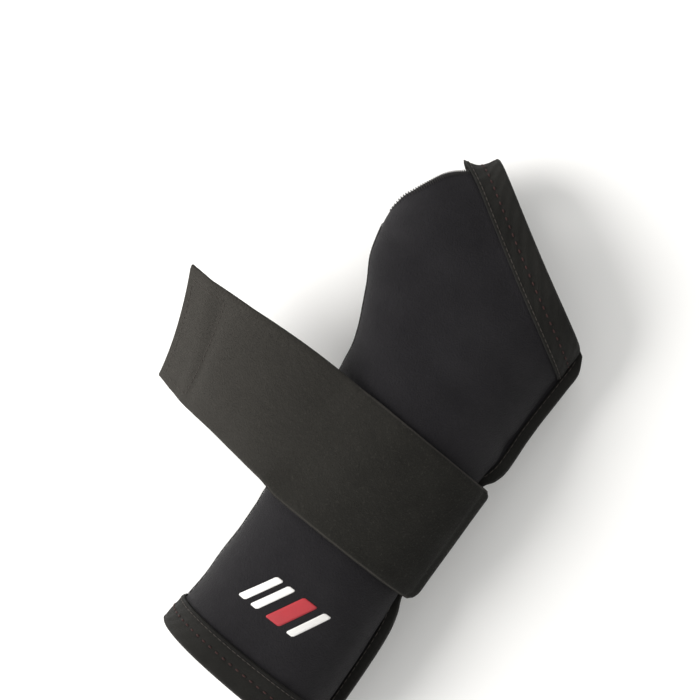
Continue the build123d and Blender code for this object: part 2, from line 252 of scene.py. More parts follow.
def shell(name, rings, material, map_points):
    """A closed shell from rings whose points run out along one face and back along the other."""
    rows, columns = rings.shape[:2]
    faces = sheet_faces(rows, columns, wrap=True)
    half = columns // 2
    caps = []
    for base, flip in ((0, False), ((rows - 1) * columns, True)):
        for step in range(half - 1):
            quad = [base + step, base + step + 1]
            quad += [base + columns - 2 - step, base + columns - 1 - step]
            caps.append(quad if flip else quad[::-1])
    return make_piece(name, rings, faces + caps, material, map_points, len(caps))


def new_group(name, inputs, outputs):
    """An empty shader node group with the named sockets, and its two ends."""
    group = bpy.data.node_groups.new(name, "ShaderNodeTree")
    for label, kind, value in inputs:
        socket = group.interface.new_socket(label, in_out="INPUT", socket_type=kind)
        if value is not None:
            socket.default_value = value
    for label, kind in outputs:
        group.interface.new_socket(label, in_out="OUTPUT", socket_type=kind)
    return group, group.nodes.new("NodeGroupInput"), group.nodes.new("NodeGroupOutput")


def node(tree, kind, links=(), **values):
    """A node with its settings, its socket values by name or number, and links into it."""
    made = tree.nodes.new(kind)
    sockets = values.pop("sockets", {})
    for key, value in values.items():
        setattr(made, key, value)
    for key, value in sockets.items():
        made.inputs[key].default_value = value
    for key, source in links:
        tree.links.new(source, made.inputs[key])
    return made


def maths(tree, operation, *given, **settings):
    """Output of a maths node that takes other nodes' outputs and plain numbers."""
    links = [(spot, value) for spot, value in enumerate(given) if not isinstance(value, float)]
    numbers = {spot: value for spot, value in enumerate(given) if isinstance(value, float)}
    made = node(tree, "ShaderNodeMath", links, operation=operation, sockets=numbers, **settings)
    return made.outputs[0]


# Shared cloth effects: a knit or woven surface, and the lint, rub and fading of used black cloth
weave_group, ends_in, ends_out = new_group(
    "cloth_weave",
    [("Across", "NodeSocketFloat", 100.0),
     ("Along", "NodeSocketFloat", 100.0),
     ("Unevenness", "NodeSocketFloat", 0.4)],
    [("Height", "NodeSocketFloat")],
)
place = node(weave_group, "ShaderNodeUVMap", uv_map="cloth")
wobble = node(weave_group, "ShaderNodeTexNoise", [("Vector", place.outputs["UV"])],
              sockets={"Scale": 60.0, "Detail": 3.0})
wobble_size = maths(weave_group, "MULTIPLY", wobble.outputs["Fac"], ends_in.outputs["Unevenness"])
split = node(weave_group, "ShaderNodeSeparateXYZ", [(0, place.outputs["UV"])])
waves = []
for axis, rate in (("X", "Across"), ("Y", "Along")):
    scaled = maths(weave_group, "MULTIPLY", split.outputs[axis], ends_in.outputs[rate])
    waves.append(maths(weave_group, "SINE", maths(weave_group, "ADD", scaled, wobble_size)))
crossed = maths(weave_group, "MULTIPLY", *waves)
weave_group.links.new(maths(weave_group, "MULTIPLY_ADD", crossed, 0.5, 0.5), ends_out.inputs["Height"])

wear_group, ends_in, ends_out = new_group(
    "cloth_wear",
    [("Cloth", "NodeSocketColor", (0.02, 0.02, 0.02, 1)),
     ("Worn", "NodeSocketColor", (0.05, 0.05, 0.05, 1)),
     ("Mottle", "NodeSocketFloat", 0.4),
     ("Lint", "NodeSocketFloat", 0.2),
     ("Roughness", "NodeSocketFloat", 0.8)],
    [("Color", "NodeSocketColor"), ("Roughness", "NodeSocketFloat"), ("Height", "NodeSocketFloat")],
)
place = node(wear_group, "ShaderNodeTexCoord")
broad = node(wear_group, "ShaderNodeTexNoise", [("Vector", place.outputs["Object"])],
             sockets={"Scale": 32.0, "Detail": 6.0, "Roughness": 0.62})
fine = node(wear_group, "ShaderNodeTexNoise", [("Vector", place.outputs["Object"])],
            sockets={"Scale": 1300.0, "Detail": 3.0, "Roughness": 0.7})
fibre = node(wear_group, "ShaderNodeTexNoise", [("Vector", place.outputs["Object"])],
             sockets={"Scale": 420.0, "Detail": 2.0, "Roughness": 0.5, "Distortion": 2.5})
broad_mask = node(wear_group, "ShaderNodeMapRange", [("Value", broad.outputs["Fac"])],
                  sockets={"From Min": 0.38, "From Max": 0.68})
speck = node(wear_group, "ShaderNodeMapRange", [("Value", fine.outputs["Fac"])],
             sockets={"From Min": 0.56, "From Max": 0.74})
mottle = maths(wear_group, "MULTIPLY", broad_mask.outputs["Result"], ends_in.outputs["Mottle"])
lint = maths(wear_group, "MULTIPLY", speck.outputs["Result"], ends_in.outputs["Lint"])
mask = maths(wear_group, "ADD", mottle, lint, use_clamp=True)
mixed = node(wear_group, "ShaderNodeMix",
             [(0, mask), (6, ends_in.outputs["Cloth"]), (7, ends_in.outputs["Worn"])],
             data_type="RGBA")
rough = maths(
    wear_group, "MULTIPLY_ADD", broad_mask.outputs["Result"], -0.12, ends_in.outputs["Roughness"])
grain = maths(wear_group, "ADD", fine.outputs["Fac"], fibre.outputs["Fac"])
wear_group.links.new(mixed.outputs[2], ends_out.inputs["Color"])
wear_group.links.new(rough, ends_out.inputs["Roughness"])
wear_group.links.new(grain, ends_out.inputs["Height"])


def cloth_material(name, cloth, worn, mottle, lint, roughness, weave, relief, fuzz, specular,
                   sheen=0.0, sheen_roughness=0.5):
    """Cloth with a weave (across, along, unevenness) and fuzz; relief and fuzz are in metres."""
    material = bpy.data.materials.new(name)
    material.use_nodes = True
    tree = material.node_tree
    shader = tree.nodes["Principled BSDF"]
    worn_cloth = node(tree, "ShaderNodeGroup", node_tree=wear_group, sockets={
        "Cloth": (*cloth, 1), "Worn": (*worn, 1), "Mottle": mottle, "Lint": lint,
        "Roughness": roughness})
    woven = node(tree, "ShaderNodeGroup", node_tree=weave_group, sockets={
        "Across": weave[0], "Along": weave[1], "Unevenness": weave[2]})
    fuzz_bump = node(tree, "ShaderNodeBump", [("Height", worn_cloth.outputs["Height"])],
                     sockets={"Strength": 1.0, "Distance": fuzz})
    weave_bump = node(tree, "ShaderNodeBump",
                      [("Height", woven.outputs["Height"]), ("Normal", fuzz_bump.outputs["Normal"])],
                      sockets={"Strength": 1.0, "Distance": relief})
    tree.links.new(worn_cloth.outputs["Color"], shader.inputs["Base Color"])
    tree.links.new(worn_cloth.outputs["Roughness"], shader.inputs["Roughness"])
    tree.links.new(weave_bump.outputs["Normal"], shader.inputs["Normal"])
    shader.inputs["Specular IOR Level"].default_value = specular
    shader.inputs["Sheen Weight"].default_value = sheen
    shader.inputs["Sheen Roughness"].default_value = sheen_roughness
    return material


neoprene_material = cloth_material(
    "neoprene_knit_face", cloth=(0.0072, 0.0066, 0.0080), worn=(0.0145, 0.0134, 0.0155), mottle=0.4,
    lint=0.7, roughness=0.74, weave=(2600, 1500, 1.2), relief=0.00008, fuzz=0.00030,
    sheen=0.02, specular=0.14)

panel_stations = np.unique(np.concatenate([
    np.linspace(forearm_edge, 52, 118), np.linspace(52, 84, 58), np.linspace(84, hand_edge, 24)]))
panel_columns = 96


def turned_share(distance):
    """How much of a panel's place is set by its turned-out edge, at a distance from that edge."""
    return 1 - smooth_step(1.5, 9.0, distance)


def panel_rings(last_angle, side):
    """Closed rings of one panel, from its turned-out edge to its thumb-side edge and back."""
    stations = panel_stations
    fin_angle = 0 if side > 0 else 360
    start = fin_angle + side * arc_degrees(stations, fin_joint_gap / 2, 0)
    stop = last_angle(stations)
    shares = np.linspace(0, 1, panel_columns)
    outer_face = [(share, 0.0, 0.0) for share in shares[:-1]]
    cut_edge = [(1.0, -0.35, 0.0), (1.0, -1.1, 0.25), (1.0, -1.9, 0.25), (1.0, -2.65, 0.0)]
    inner_face = [(share, -panel_thickness, 0.0) for share in shares[::-1][1:]]
    crest = on_section(stations, 0.0, 0.0)[0] + along(fin_reach, stations)
    rings = []
    for share, offset, bulge in outer_face + cut_edge + inner_face:
        degrees = start + (stop - start) * share + side * arc_degrees(stations, bulge, 180)
        across, up = on_section(stations, degrees, offset + soft_wave(stations, degrees))
        distance = np.abs(degrees - fin_angle) / arc_degrees(stations, 1.0, 0) * fin_ease
        fin_up = along(sleeve_form, stations, 4) + side * (fin_half + offset * fin_squeeze)
        turned = turned_share(distance)
        across = across + (crest - distance - across) * turned
        up = up + (fin_up - up) * turned
        rings.append(in_row(stations, across, up))
    return np.stack(rings, 1)


def cloth_map(rings):
    """Cloth coordinates in decimetres, measured along and round a grid of points."""
    round_step = np.linalg.norm(np.diff(rings, axis=1), axis=2)
    across = np.concatenate([np.zeros((len(rings), 1)), np.cumsum(round_step, 1)], 1)
    along_step = np.linalg.norm(np.diff(rings, axis=0), axis=2).mean(1)
    forward = np.concatenate([[0], np.cumsum(along_step)])
    return np.stack([across, np.broadcast_to(forward[:, None], across.shape)], -1) / 100


back_rings = panel_rings(back_edge, 1)
palm_rings = panel_rings(palm_edge, -1)[:, ::-1]
back_panel = shell("back_panel", back_rings, neoprene_material, cloth_map(back_rings))
palm_panel = shell("palm_panel", palm_rings, neoprene_material, cloth_map(palm_rings))
for piece, cad_node in ((back_panel, "dorsal_panel"), (palm_panel, "palmar_panel")):
    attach(piece, "sleeve")
    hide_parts(cad_node)


# ---- Binding tapes ---------------------------------------------------------------------------
# The hand and forearm edges are bound with soft woven black tape, folded over the raw neoprene
# and sewn through. The tape lies a little puckered between its stitch rows.
binding_material = cloth_material(
    "woven_binding_tape", cloth=(0.0092, 0.0090, 0.0080), worn=(0.0185, 0.0178, 0.0158), mottle=0.4,
    lint=0.55, roughness=0.84, weave=(4200, 6400, 1.1), relief=0.00005, fuzz=0.00010,
    sheen=0.03, specular=0.10)
hand_tape_width = 13.5
forearm_tape_width = 12.0
edge_row_inset = 1.6
tape_thickness = 1.0
tape_lift = 0.28


def tape_profile(width):
    """Closed outline of a folded tape: how far in from the edge, and how far off the face."""
    low, high = tape_lift, tape_lift + tape_thickness
    inner = -panel_thickness
    steps = np.linspace(0, 1, 24)[1:-1]
    outer_leg = [(width - 0.3, high - 0.25)] + [(width - 0.5 - (width - 0.5) * s, high) for s in steps]
    bow = np.radians(np.linspace(90, -90, 11))
    middle, radius = inner / 2, (high - inner + high) / 2
    fold = [(-1.5 * math.cos(turn), middle + radius * math.sin(turn)) for turn in bow]
    inner_leg = [(width * s, inner - high) for s in steps] + [(width - 0.2, inner - high + 0.2)]
    back = [(width - 0.2, inner - low)] + [(width * (1 - s), inner - low) for s in steps[::3]]
    back_radius = (low - inner + low) / 2
    inside = [(-0.45 * math.cos(turn), middle + back_radius * math.sin(turn)) for turn in bow[::-2]]
    front = [(width * s, low) for s in steps[::3]] + [(width - 0.1, low)]
    return np.array(outer_leg + fold + inner_leg + back + inside + front)


def tape_rings(edge, inward, width, rows):
    """Rings of a folded tape round one opening, puckered along its stitch rows."""
    profile = tape_profile(width)
    room = arc_degrees(edge, fin_half + 0.8, 4)
    angles = np.linspace(room, 360 - room, 400)
    rings = []
    for inset, offset in profile:
        face = np.sign(offset + panel_thickness / 2)
        station = edge + inward * inset
        groove = sum(np.exp(-(((inset - row) / 0.7) ** 2)) for row in rows)
        pucker = 0.5 + 0.5 * np.cos(np.radians(angles) * 58)
        between = 0.10 * np.sin(np.radians(angles) * 29 + inset * 0.9)
        shift = face * (between * (abs(offset) > 1) - groove * (0.10 + 0.16 * pucker))
        outer = offset > 0.8 or offset < -panel_thickness - 0.8
        rings.append(in_row(station, *on_section(station, angles, offset + (shift if outer else 0))))
    return np.stack(rings, 1)


def bind_opening(name, edge, inward, width, cad_node):
    """One folded tape round an opening, as a piece with its two cut ends."""
    rings = tape_rings(edge, inward, width, (width / 2, width - edge_row_inset))
    rows, columns = rings.shape[:2]
    faces = sheet_faces(rows, columns, wrap=True) + end_faces(rows, columns)
    if inward > 0:
        faces = [face[::-1] for face in faces]
    piece = make_piece(name, rings, faces, binding_material, cloth_map(rings), 2)
    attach(piece, "sleeve")
    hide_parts(cad_node)


bind_opening("hand_edge_tape", hand_edge, -1, hand_tape_width, "hand_opening_binding")
bind_opening("forearm_edge_tape", forearm_edge, 1, forearm_tape_width, "forearm_opening_binding")


# ---- Fin binding -----------------------------------------------------------------------------
# A narrower tape is folded over the two panel edges that turn out along the little-finger side,
# and is sewn right through them. It ends in a tucked, rounded corner at each opening.
fin_tape_leg = 4.3
fin_tape_outer = 0.78
fin_tape_inner = 0.22
fin_stations = np.linspace(forearm_edge - 0.9, hand_edge + 0.9, 190)


def fin_rings():
    """Closed rings of the fin's tape: its outer face over the crest, and its inner face back."""
    stations = fin_stations
    near_end = np.minimum(stations - stations[0], stations[-1] - stations)
    tuck = 0.9 * (1 - smooth_step(0, 1.6, near_end)) ** 2
    crest = on_section(stations, 0.0, 0.0)[0] + along(fin_reach, stations) - tuck
    middle = along(sleeve_form, stations, 4)
    turns = np.radians(np.linspace(90, -90, 13))
    leg = fin_tape_leg - np.linspace(0, fin_tape_leg - 0.6, 13)
    outline = []
    for layer in (fin_tape_outer, fin_tape_inner):
        path = [(inset, 1.0, layer) for inset in leg]
        path += [(0.5 - (1.0 + layer * 0.4) * math.cos(turn), math.sin(turn), layer) for turn in turns]
        path += [(inset, -1.0, layer) for inset in leg[::-1]]
        outline += path if layer == fin_tape_outer else path[::-1]
    rings = []
    for inset, lean, layer in outline:
        across = crest - inset
        up = middle + (fin_half + layer) * lean
        if abs(lean) == 1:
            angle = inset * arc_degrees(stations, 1.0, 0) / fin_ease
            curve_across, curve_up = on_section(stations, angle, layer)
            spread = 1 - turned_share(inset + 0.35)
            up = up + (middle + lean * np.abs(curve_up - middle) - up) * spread
            across = across + (curve_across - across) * spread
        rings.append(in_row(stations, across, up))
    return np.stack(rings, 1)


fin_ring = fin_rings()
fin_map = cloth_map(fin_ring)
fin_tape = shell("fin_tape", fin_ring[:, ::-1], binding_material, fin_map[:, ::-1])
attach(fin_tape, "sleeve")
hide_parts("ulnar_binding")


# ---- Stitch rows -----------------------------------------------------------------------------
# Lockstitch rows in polyester thread hold the tapes: a fine black row near each tape's inner
# edge, a heavier dull red row along the middle of the opening tapes, and one along the fin.
def thread_material(name, color, worn):
    return cloth_material(name, cloth=color, worn=worn, mottle=0.3, lint=0.3, roughness=0.6,
                          weave=(900, 2600, 0.6), relief=0.00008, fuzz=0.00002, sheen=0.03,
                          specular=0.2)


black_thread = thread_material("black_thread", (0.020, 0.019, 0.018), (0.045, 0.042, 0.040))
pale_thread = thread_material("brown_grey_thread", (0.048, 0.041, 0.036), (0.09, 0.078, 0.068))
red_thread = thread_material("dull_red_thread", (0.036, 0.014, 0.013), (0.085, 0.030, 0.028))


def line_places(line, normals, at):
    """Places and outward directions at distances along a line of points."""
    steps = np.linalg.norm(np.diff(line, axis=0), axis=1)
    reached = np.concatenate([[0], np.cumsum(steps)])
    place = np.stack([np.interp(at, reached, line[:, axis]) for axis in range(3)], -1)
    normal = np.stack([np.interp(at, reached, normals[:, axis]) for axis in range(3)], -1)
    return place, normal / np.linalg.norm(normal, axis=-1, keepdims=True)


def line_length(line):
    """Length along a line of points."""
    return float(np.linalg.norm(np.diff(line, axis=0), axis=1).sum())


def thread_mesh(paths, normals, radii, sides=6):
    """Round threads along many short paths: arrays of threads, points and coordinates."""
    tangent = np.gradient(paths, axis=1)
    tangent /= np.linalg.norm(tangent, axis=2, keepdims=True)
    beside = np.cross(tangent, normals)
    beside /= np.linalg.norm(beside, axis=2, keepdims=True)
    above = np.cross(beside, tangent)
    turns = np.linspace(0, 2 * math.pi, sides, endpoint=False)
    ring = (beside[:, :, None] * np.cos(turns)[:, None] + above[:, :, None] * np.sin(turns)[:, None])
    points = paths[:, :, None] + ring * np.asarray(radii)[None, :, None, None]
    count, rows = paths.shape[:2]
    single = sheet_faces(rows, sides, wrap=True) + end_faces(rows, sides)
    faces = []
    for index in range(count):
        base = index * rows * sides
        faces += [[base + corner for corner in face] for face in single]
    steps = np.linspace(0, 0.03, rows)
    place = np.stack(np.broadcast_arrays(
        turns[None, None, :] * 0.01, steps[None, :, None] + np.arange(count)[:, None, None] * 0.03), -1)
    return points.reshape(-1, 3), faces, place.reshape(-1, 2)


def stitch_row(line, normals, pitch, length, radius, lift):
    """Stitches along a line, each dipping into the cloth at both ends."""
    count = int(line_length(line) / pitch)
    middles = (np.arange(count) + 0.5) * pitch
    part = np.linspace(-0.5, 0.5, 7)
    at = middles[:, None] + part[None, :] * length
    place, normal = line_places(line, normals, at)
    height = lift * (1 - (2 * part) ** 4) - radius * 0.7 * (2 * part) ** 4
    paths = place + normal * height[None, :, None]
    radii = radius * np.array([0.5, 0.85, 1, 1, 1, 0.85, 0.5])
    return thread_mesh(paths, normal, radii)


def join_parts(parts):
    """Several sets of points, faces and cloth places as one."""
    points, faces, places, base = [], [], [], 0
    for part_points, part_faces, part_places in parts:
        points.append(part_points)
        places.append(part_places)
        faces += [[corner + base for corner in face] for face in part_faces]
        base += len(part_points)
    return np.concatenate(points), faces, np.concatenate(places)


def add_parts(name, parts, material, body, cad_node):
    """One piece of many small parts that ride one body."""
    points, faces, places = join_parts(parts)
    piece = make_piece(name, points, faces, material, places)
    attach(piece, body)
    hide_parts(cad_node)


def round_opening(edge, inward, inset):
    """Line and outward directions along a tape, at a distance in from the edge."""
    station = edge + inward * inset
    angles = np.linspace(9, 351, 700)
    low = in_row(station, *on_section(station, angles, tape_lift + tape_thickness - 0.12))
    high = in_row(station, *on_section(station, angles, tape_lift + tape_thickness + 0.88))
    return low, high - low


for opening, edge, inward, width in (
    ("hand", hand_edge, -1, hand_tape_width), ("forearm", forearm_edge, 1, forearm_tape_width)):
    fine = stitch_row(*round_opening(edge, inward, width - edge_row_inset),
                      pitch=2.3, length=1.9, radius=0.17, lift=0.14)
    heavy = stitch_row(*round_opening(edge, inward, width / 2),
                       pitch=3.25, length=1.4, radius=0.30, lift=0.16)
    add_parts(f"{opening}_tape_edge_stitches", [fine], pale_thread, "sleeve",
              f"{opening}_binding_edge_stitching")
    add_parts(f"{opening}_tape_middle_stitches", [heavy], red_thread, "sleeve",
              f"{opening}_binding_centre_stitching")


# On both flanks of the fin, between the outer face of its tape and the inner face across from it
fin_parts = []
for outer_column in (2, 36):
    line = fin_ring[2:-2, outer_column]
    across_from = fin_ring[2:-2, fin_ring.shape[1] - 1 - outer_column]
    fin_parts.append(
        stitch_row(line, line - across_from, pitch=2.6, length=2.2, radius=0.17, lift=0.12))
add_parts("fin_stitches", fin_parts, pale_thread, "sleeve", "ulnar_binding_stitching")


# ---- Flat seam -------------------------------------------------------------------------------
# On the thumb side the panels are butted and joined with a flat zigzag seam, one thread
# running to and fro over the joint, from the forearm tape to the thumb hole.
seam_half = 2.5
seam_pitch = 1.5
seam_thread = 0.19
seam_first = forearm_edge + forearm_tape_width + 0.8
seam_last = 61.2
seam_count = int((seam_last - seam_first) / seam_pitch)
seam_parts = []
for shift in (0.0, 0.5):
    corner = np.arange(seam_count)
    station = seam_first + (corner + shift) * seam_pitch
    side = np.where(corner % 2 == 0, 1.0, -1.0)
    paths, normals = [], []
    part = np.linspace(0, 1, 7)
    for index in range(seam_count - 1):
        across = side[index] * seam_half * (1 - 2 * part)
        run = station[index] + seam_pitch * part
        degrees = 180 + across * arc_degrees(run, 1.0, 180)
        lift = 0.12 + 0.16 * np.sin(math.pi * part)
        low = sleeve_point(run, degrees, lift)
        paths.append(low)
        normals.append(sleeve_point(run, degrees, lift + 1) - low)
    seam_parts.append(thread_mesh(
        np.array(paths), np.array(normals), seam_thread * np.array([0.6, 1, 1, 1, 1, 1, 0.6])))
add_parts("flat_seam_thread", seam_parts, black_thread, "sleeve", "radial_flat_seam")


# ---- Thumb hole edge -------------------------------------------------------------------------
# The cut edges of both panels at the thumb hole are serged: loops of black thread close
# together over the raw edge, locked by a thread that runs along the edge.
serging_first = 62.6
serging_pitch = 0.78
loop_thread = 0.24
lock_thread = 0.3


def serged(edge_at, outward):
    """Loops over one cut edge, and the locking thread along it."""
    stations = np.arange(serging_first, hand_edge - 3.0, serging_pitch)
    turn = np.linspace(0, 1, 9)
    paths, normals = [], []
    for station in stations:
        edge = float(edge_at(np.array([station]))[0])
        lean = 0.35 * (turn - 0.5)
        wrap = np.sin(math.pi * np.clip((turn - 0.25) / 0.5, 0, 1))
        distance = np.where(turn < 0.25, -2.0 + 8.8 * turn, 0.2 + 0.55 * wrap)
        distance = np.where(turn > 0.75, -2.0 + 8.8 * (1 - turn), distance)
        offset = np.interp(turn, [0, 0.22, 0.5, 0.78, 1], [0.05, 0.28, -1.5, -3.28, -3.05])
        step = arc_degrees(station, 1.0, edge)
        place = sleeve_point(station + lean, edge + outward * distance * step, offset)
        inner = sleeve_point(station + lean, edge - outward * 3.0 * step, offset * 0 - 1.5)
        paths.append(place)
        normals.append(place - inner)
    paths, normals = np.array(paths), np.array(normals)
    normals /= np.linalg.norm(normals, axis=2, keepdims=True)
    loops = thread_mesh(paths, normals, loop_thread * np.array([0.6, 1, 1, 1, 1, 1, 1, 1, 0.6]))
    run = paths[:, 4][None]
    lock = thread_mesh(run, normals[:, 4][None], np.full(len(stations), lock_thread))
    return [loops, lock]


add_parts("thumb_hole_serging", serged(back_edge, 1) + serged(palm_edge, -1), black_thread,
          "sleeve", "thumb_opening_overlock")


# ---- Strap -----------------------------------------------------------------------------------
# One length of 50 mm brushed loop elastic, 2 mm thick. It is sewn down under the palm side, goes
# round the fin, lies over the back of the wrist, and its free end stands out past the thumb side
# with a slight twist. Each joint of the frame has its own stretch of the strap bending over it.
strap_thickness = 2.0
strap_low_station = -26.0
strap_high_station = 24.0
strap_middle = -1.0
strap_clear = 0.4
fin_room = 3.65
leave_across = -12.0
link_length = 13.2
tip_length = 19.6
palm_end_across = -22.0
strap_columns = 41
links_reach = 4 * link_length
free_end = links_reach + tip_length
elastic_material = cloth_material(
    "brushed_loop_elastic", cloth=(0.0080, 0.0078, 0.0064), worn=(0.0280, 0.0270, 0.0225), mottle=0.3,
    lint=1.0, roughness=0.93, weave=(900, 1300, 2.2), relief=0.00026, fuzz=0.0004,
    sheen=0.03, sheen_roughness=0.6, specular=0.08)


def unit(vector):
    return np.asarray(vector, float) / np.linalg.norm(vector)


joints = {joint["name"]: joint for joint in frame["joints"]}
hinges = [np.array(joints[name]["pos_m"]) * 1000 for name in (
    "strap_wrap", "strap_wrap_b", "strap_wrap_c", "strap_wrap_d", "strap_wrap_end")]
ways = [unit(second - first) for first, second in zip(hinges, hinges[1:])]
tip_fall = math.radians(17.0)
free_heading = math.radians(4.0)
ways.append(np.array([-math.cos(tip_fall) * math.cos(free_heading),
                      math.cos(tip_fall) * math.sin(free_heading), -math.sin(tip_fall)]))
tip_end = hinges[-1] + ways[-1] * tip_length
# The width of the strap points along the first hinge, and turns towards its own line at the tip
first_line = -np.array(joints["strap_wrap"]["axis"])
tip_line = np.array([-0.22, 0.83, 0.52])
width_lines = []
for share, way in zip((0.0, 0.24, 0.5, 0.76, 1.0), ways):
    line = first_line * (1 - share) + tip_line * share
    width_lines.append(unit(line - way * line.dot(way)))


def angle_at(station, across, lower=False):
    """Angle where the thumb-side half of a section is so far across."""
    half = along(sleeve_form, station, 1)
    angle = 180 - np.degrees(np.arccos((-across / half) ** (section_roundness / 2)))
    return 360 - angle if lower else angle


column_share = np.linspace(0, 1, strap_columns)
column_stations = strap_low_station + (strap_high_station - strap_low_station) * column_share
column_reach = column_stations - strap_middle


def row_on_sleeve(angles):
    """Inner face of the strap and its outward directions where it lies on the sleeve."""
    top_corner = np.clip(1 - (strap_high_station - column_stations) / 3.0, 0, 1) ** 2
    low_corner = np.clip(1 - (column_stations - strap_low_station) / 5.0, 0, 1) ** 2
    room = fin_room - 1.2 * top_corner - 2.0 * low_corner
    turn = (np.asarray(angles, float) + 180) % 360 - 180
    pressed = 0.75 * np.exp(-(((np.abs(turn) - 21) / 5.0) ** 2))
    low = in_row(column_stations, *on_section(column_stations, angles, strap_clear - pressed, room))
    high = in_row(column_stations, *on_section(column_stations, angles, strap_clear + 1, room))
    return low, high - low


palm_rows = []
for part in np.linspace(0, 1, 44):
    start = angle_at(column_stations, palm_end_across, lower=True)
    palm_rows.append(row_on_sleeve(start + (368.0 - start) * part))
back_rows = []
for part in np.linspace(0, 1, 50):
    stop = angle_at(column_stations, leave_across)
    back_rows.append(row_on_sleeve(9.5 + (stop - 9.5) * part))
# Straight off the sleeve, easing from its own slope to the first link
leave_rows = []
leave_low, leave_out = back_rows[-1]
leave_way = back_rows[-1][0] - back_rows[-2][0]
leave_way /= -leave_way[:, :1]
first_up = np.cross(width_lines[0], ways[0])
for across in np.arange(leave_across - 1.0, hinges[0][0] + 0.9, -1.0):
    step = leave_low[:, :1] - (across - 1.2)
    own = leave_low + leave_way * np.maximum(step, 0)
    reach = (own[strap_columns // 2] - hinges[0]) @ ways[0]
    linked = hinges[0] + ways[0] * reach + column_reach[:, None] * width_lines[0]
    ease = 1 - float(smooth_step(hinges[0][0], leave_across - 1, across))
    outward = leave_out * (1 - ease) + first_up * ease
    leave_rows.append((own * (1 - ease) + linked * ease, outward))

# Free end: a smooth line through the hinge places, turning slowly from one width line to the next
knots = np.array([-link_length / 2, *(np.arange(5) * link_length), free_end])
knot_points = np.array([hinges[0] - ways[0] * link_length / 2, *hinges, tip_end])
line_at = np.array([*((np.arange(4) + 0.5) * link_length), links_reach + tip_length / 2])


def free_centre(reach):
    """Middle of the free end at a distance along it."""
    columns = [along(np.column_stack([knots, knot_points[:, axis]]), reach) for axis in range(3)]
    return np.stack(columns, -1)


def slant(share):
    """How much longer the strap's end is along its far edge than along its near edge."""
    return -5.5 - 2.3 * share + 9.4 * share**2


# How far the near edge is drawn in along the free end, by its own stretch and twist
edge_draw = np.array([
    # reach, inward
    (0.0, 0.0), (8.0, 1.4), (30.0, 1.3), (42.0, 1.1), (62.0, -0.8), (72.4, 1.0),
])

free_rows = []
free_reach = np.concatenate([np.arange(0.3, links_reach, 1.1), np.linspace(links_reach, free_end, 24)])
for reach in free_reach:
    centre = free_centre(reach)
    way = unit(free_centre(reach + 0.5) - free_centre(reach - 0.5))
    if reach > free_end - 0.6:
        way = ways[-1]
    turned = np.array([np.interp(reach, line_at, [line[axis] for line in width_lines])
                       for axis in range(3)])
    turned = unit(turned - way * way.dot(turned))
    outward = np.cross(turned, way)
    stretch = float(smooth_step(36, free_end, reach)) * slant(column_share)
    cup = 0.9 * float(smooth_step(30, 70, reach)) * (4 * (column_share - 0.5) ** 2 - 0.35)
    hanging = float(smooth_step(6, 24, reach) * (1 - smooth_step(28, 46, reach)))
    cup = cup + 2.2 * hanging * np.clip(1 - column_share / 0.35, 0, 1) ** 2
    narrowed = float(along(edge_draw, reach)) * np.clip(1 - column_share / 0.6, 0, 1)
    crease = (reach - 53.0 - 4.5 * column_share) / 3.2
    flat_edge = np.clip(1 - (2 * column_share - 1) ** 6, 0, 1)
    cup = cup + 0.85 * np.exp(-(crease**2)) * flat_edge * float(smooth_step(44, 50, reach))
    rows = centre + (column_reach + narrowed)[:, None] * turned + stretch[:, None] * way
    free_rows.append((rows - cup[:, None] * outward, np.broadcast_to(outward, rows.shape)))

all_rows = palm_rows + back_rows + leave_rows + free_rows
strap_inner = np.array([low for low, _ in all_rows])
strap_out = np.array([out for _, out in all_rows])
strap_out /= np.linalg.norm(strap_out, axis=2, keepdims=True)
palm_count, back_count, leave_count = len(palm_rows), len(back_rows), len(leave_rows)
free_start = palm_count + back_count + leave_count


def strap_rings(first, last):
    """Closed rings across the strap, with rounded selvedges and a low woven ridge beside them."""
    inner, out = strap_inner[first:last], strap_out[first:last]
    side_way = inner[:, -1] - inner[:, 0]
    side_way = side_way / np.linalg.norm(side_way, axis=1, keepdims=True)
    ridge = 0.10 * np.exp(-(((np.minimum(column_share, 1 - column_share) * 50 - 1.4) / 0.5) ** 2))
    edge_drop = 0.35 * np.exp(-((np.minimum(column_share, 1 - column_share) * 50 / 0.8) ** 2))
    outer_lift = strap_thickness + ridge - edge_drop
    inner_lift = -ridge * 0.5 + edge_drop
    outer_face = inner + out * outer_lift[:, None]
    inner_face = inner + out * inner_lift[:, None]
    rounded = ((1.45, 0.25), (1.0, 0.35), (0.55, 0.25))
    far_side = [inner[:, -1] + out[:, -1] * lift + side_way * bulge for lift, bulge in rounded]
    near_side = [inner[:, 0] + out[:, 0] * lift - side_way * bulge for lift, bulge in rounded[::-1]]
    return np.concatenate(
        [outer_face, np.stack(far_side, 1), inner_face[:, ::-1], np.stack(near_side, 1)], 1)


full_rings = strap_rings(0, len(all_rows))
full_map = cloth_map(full_rings)

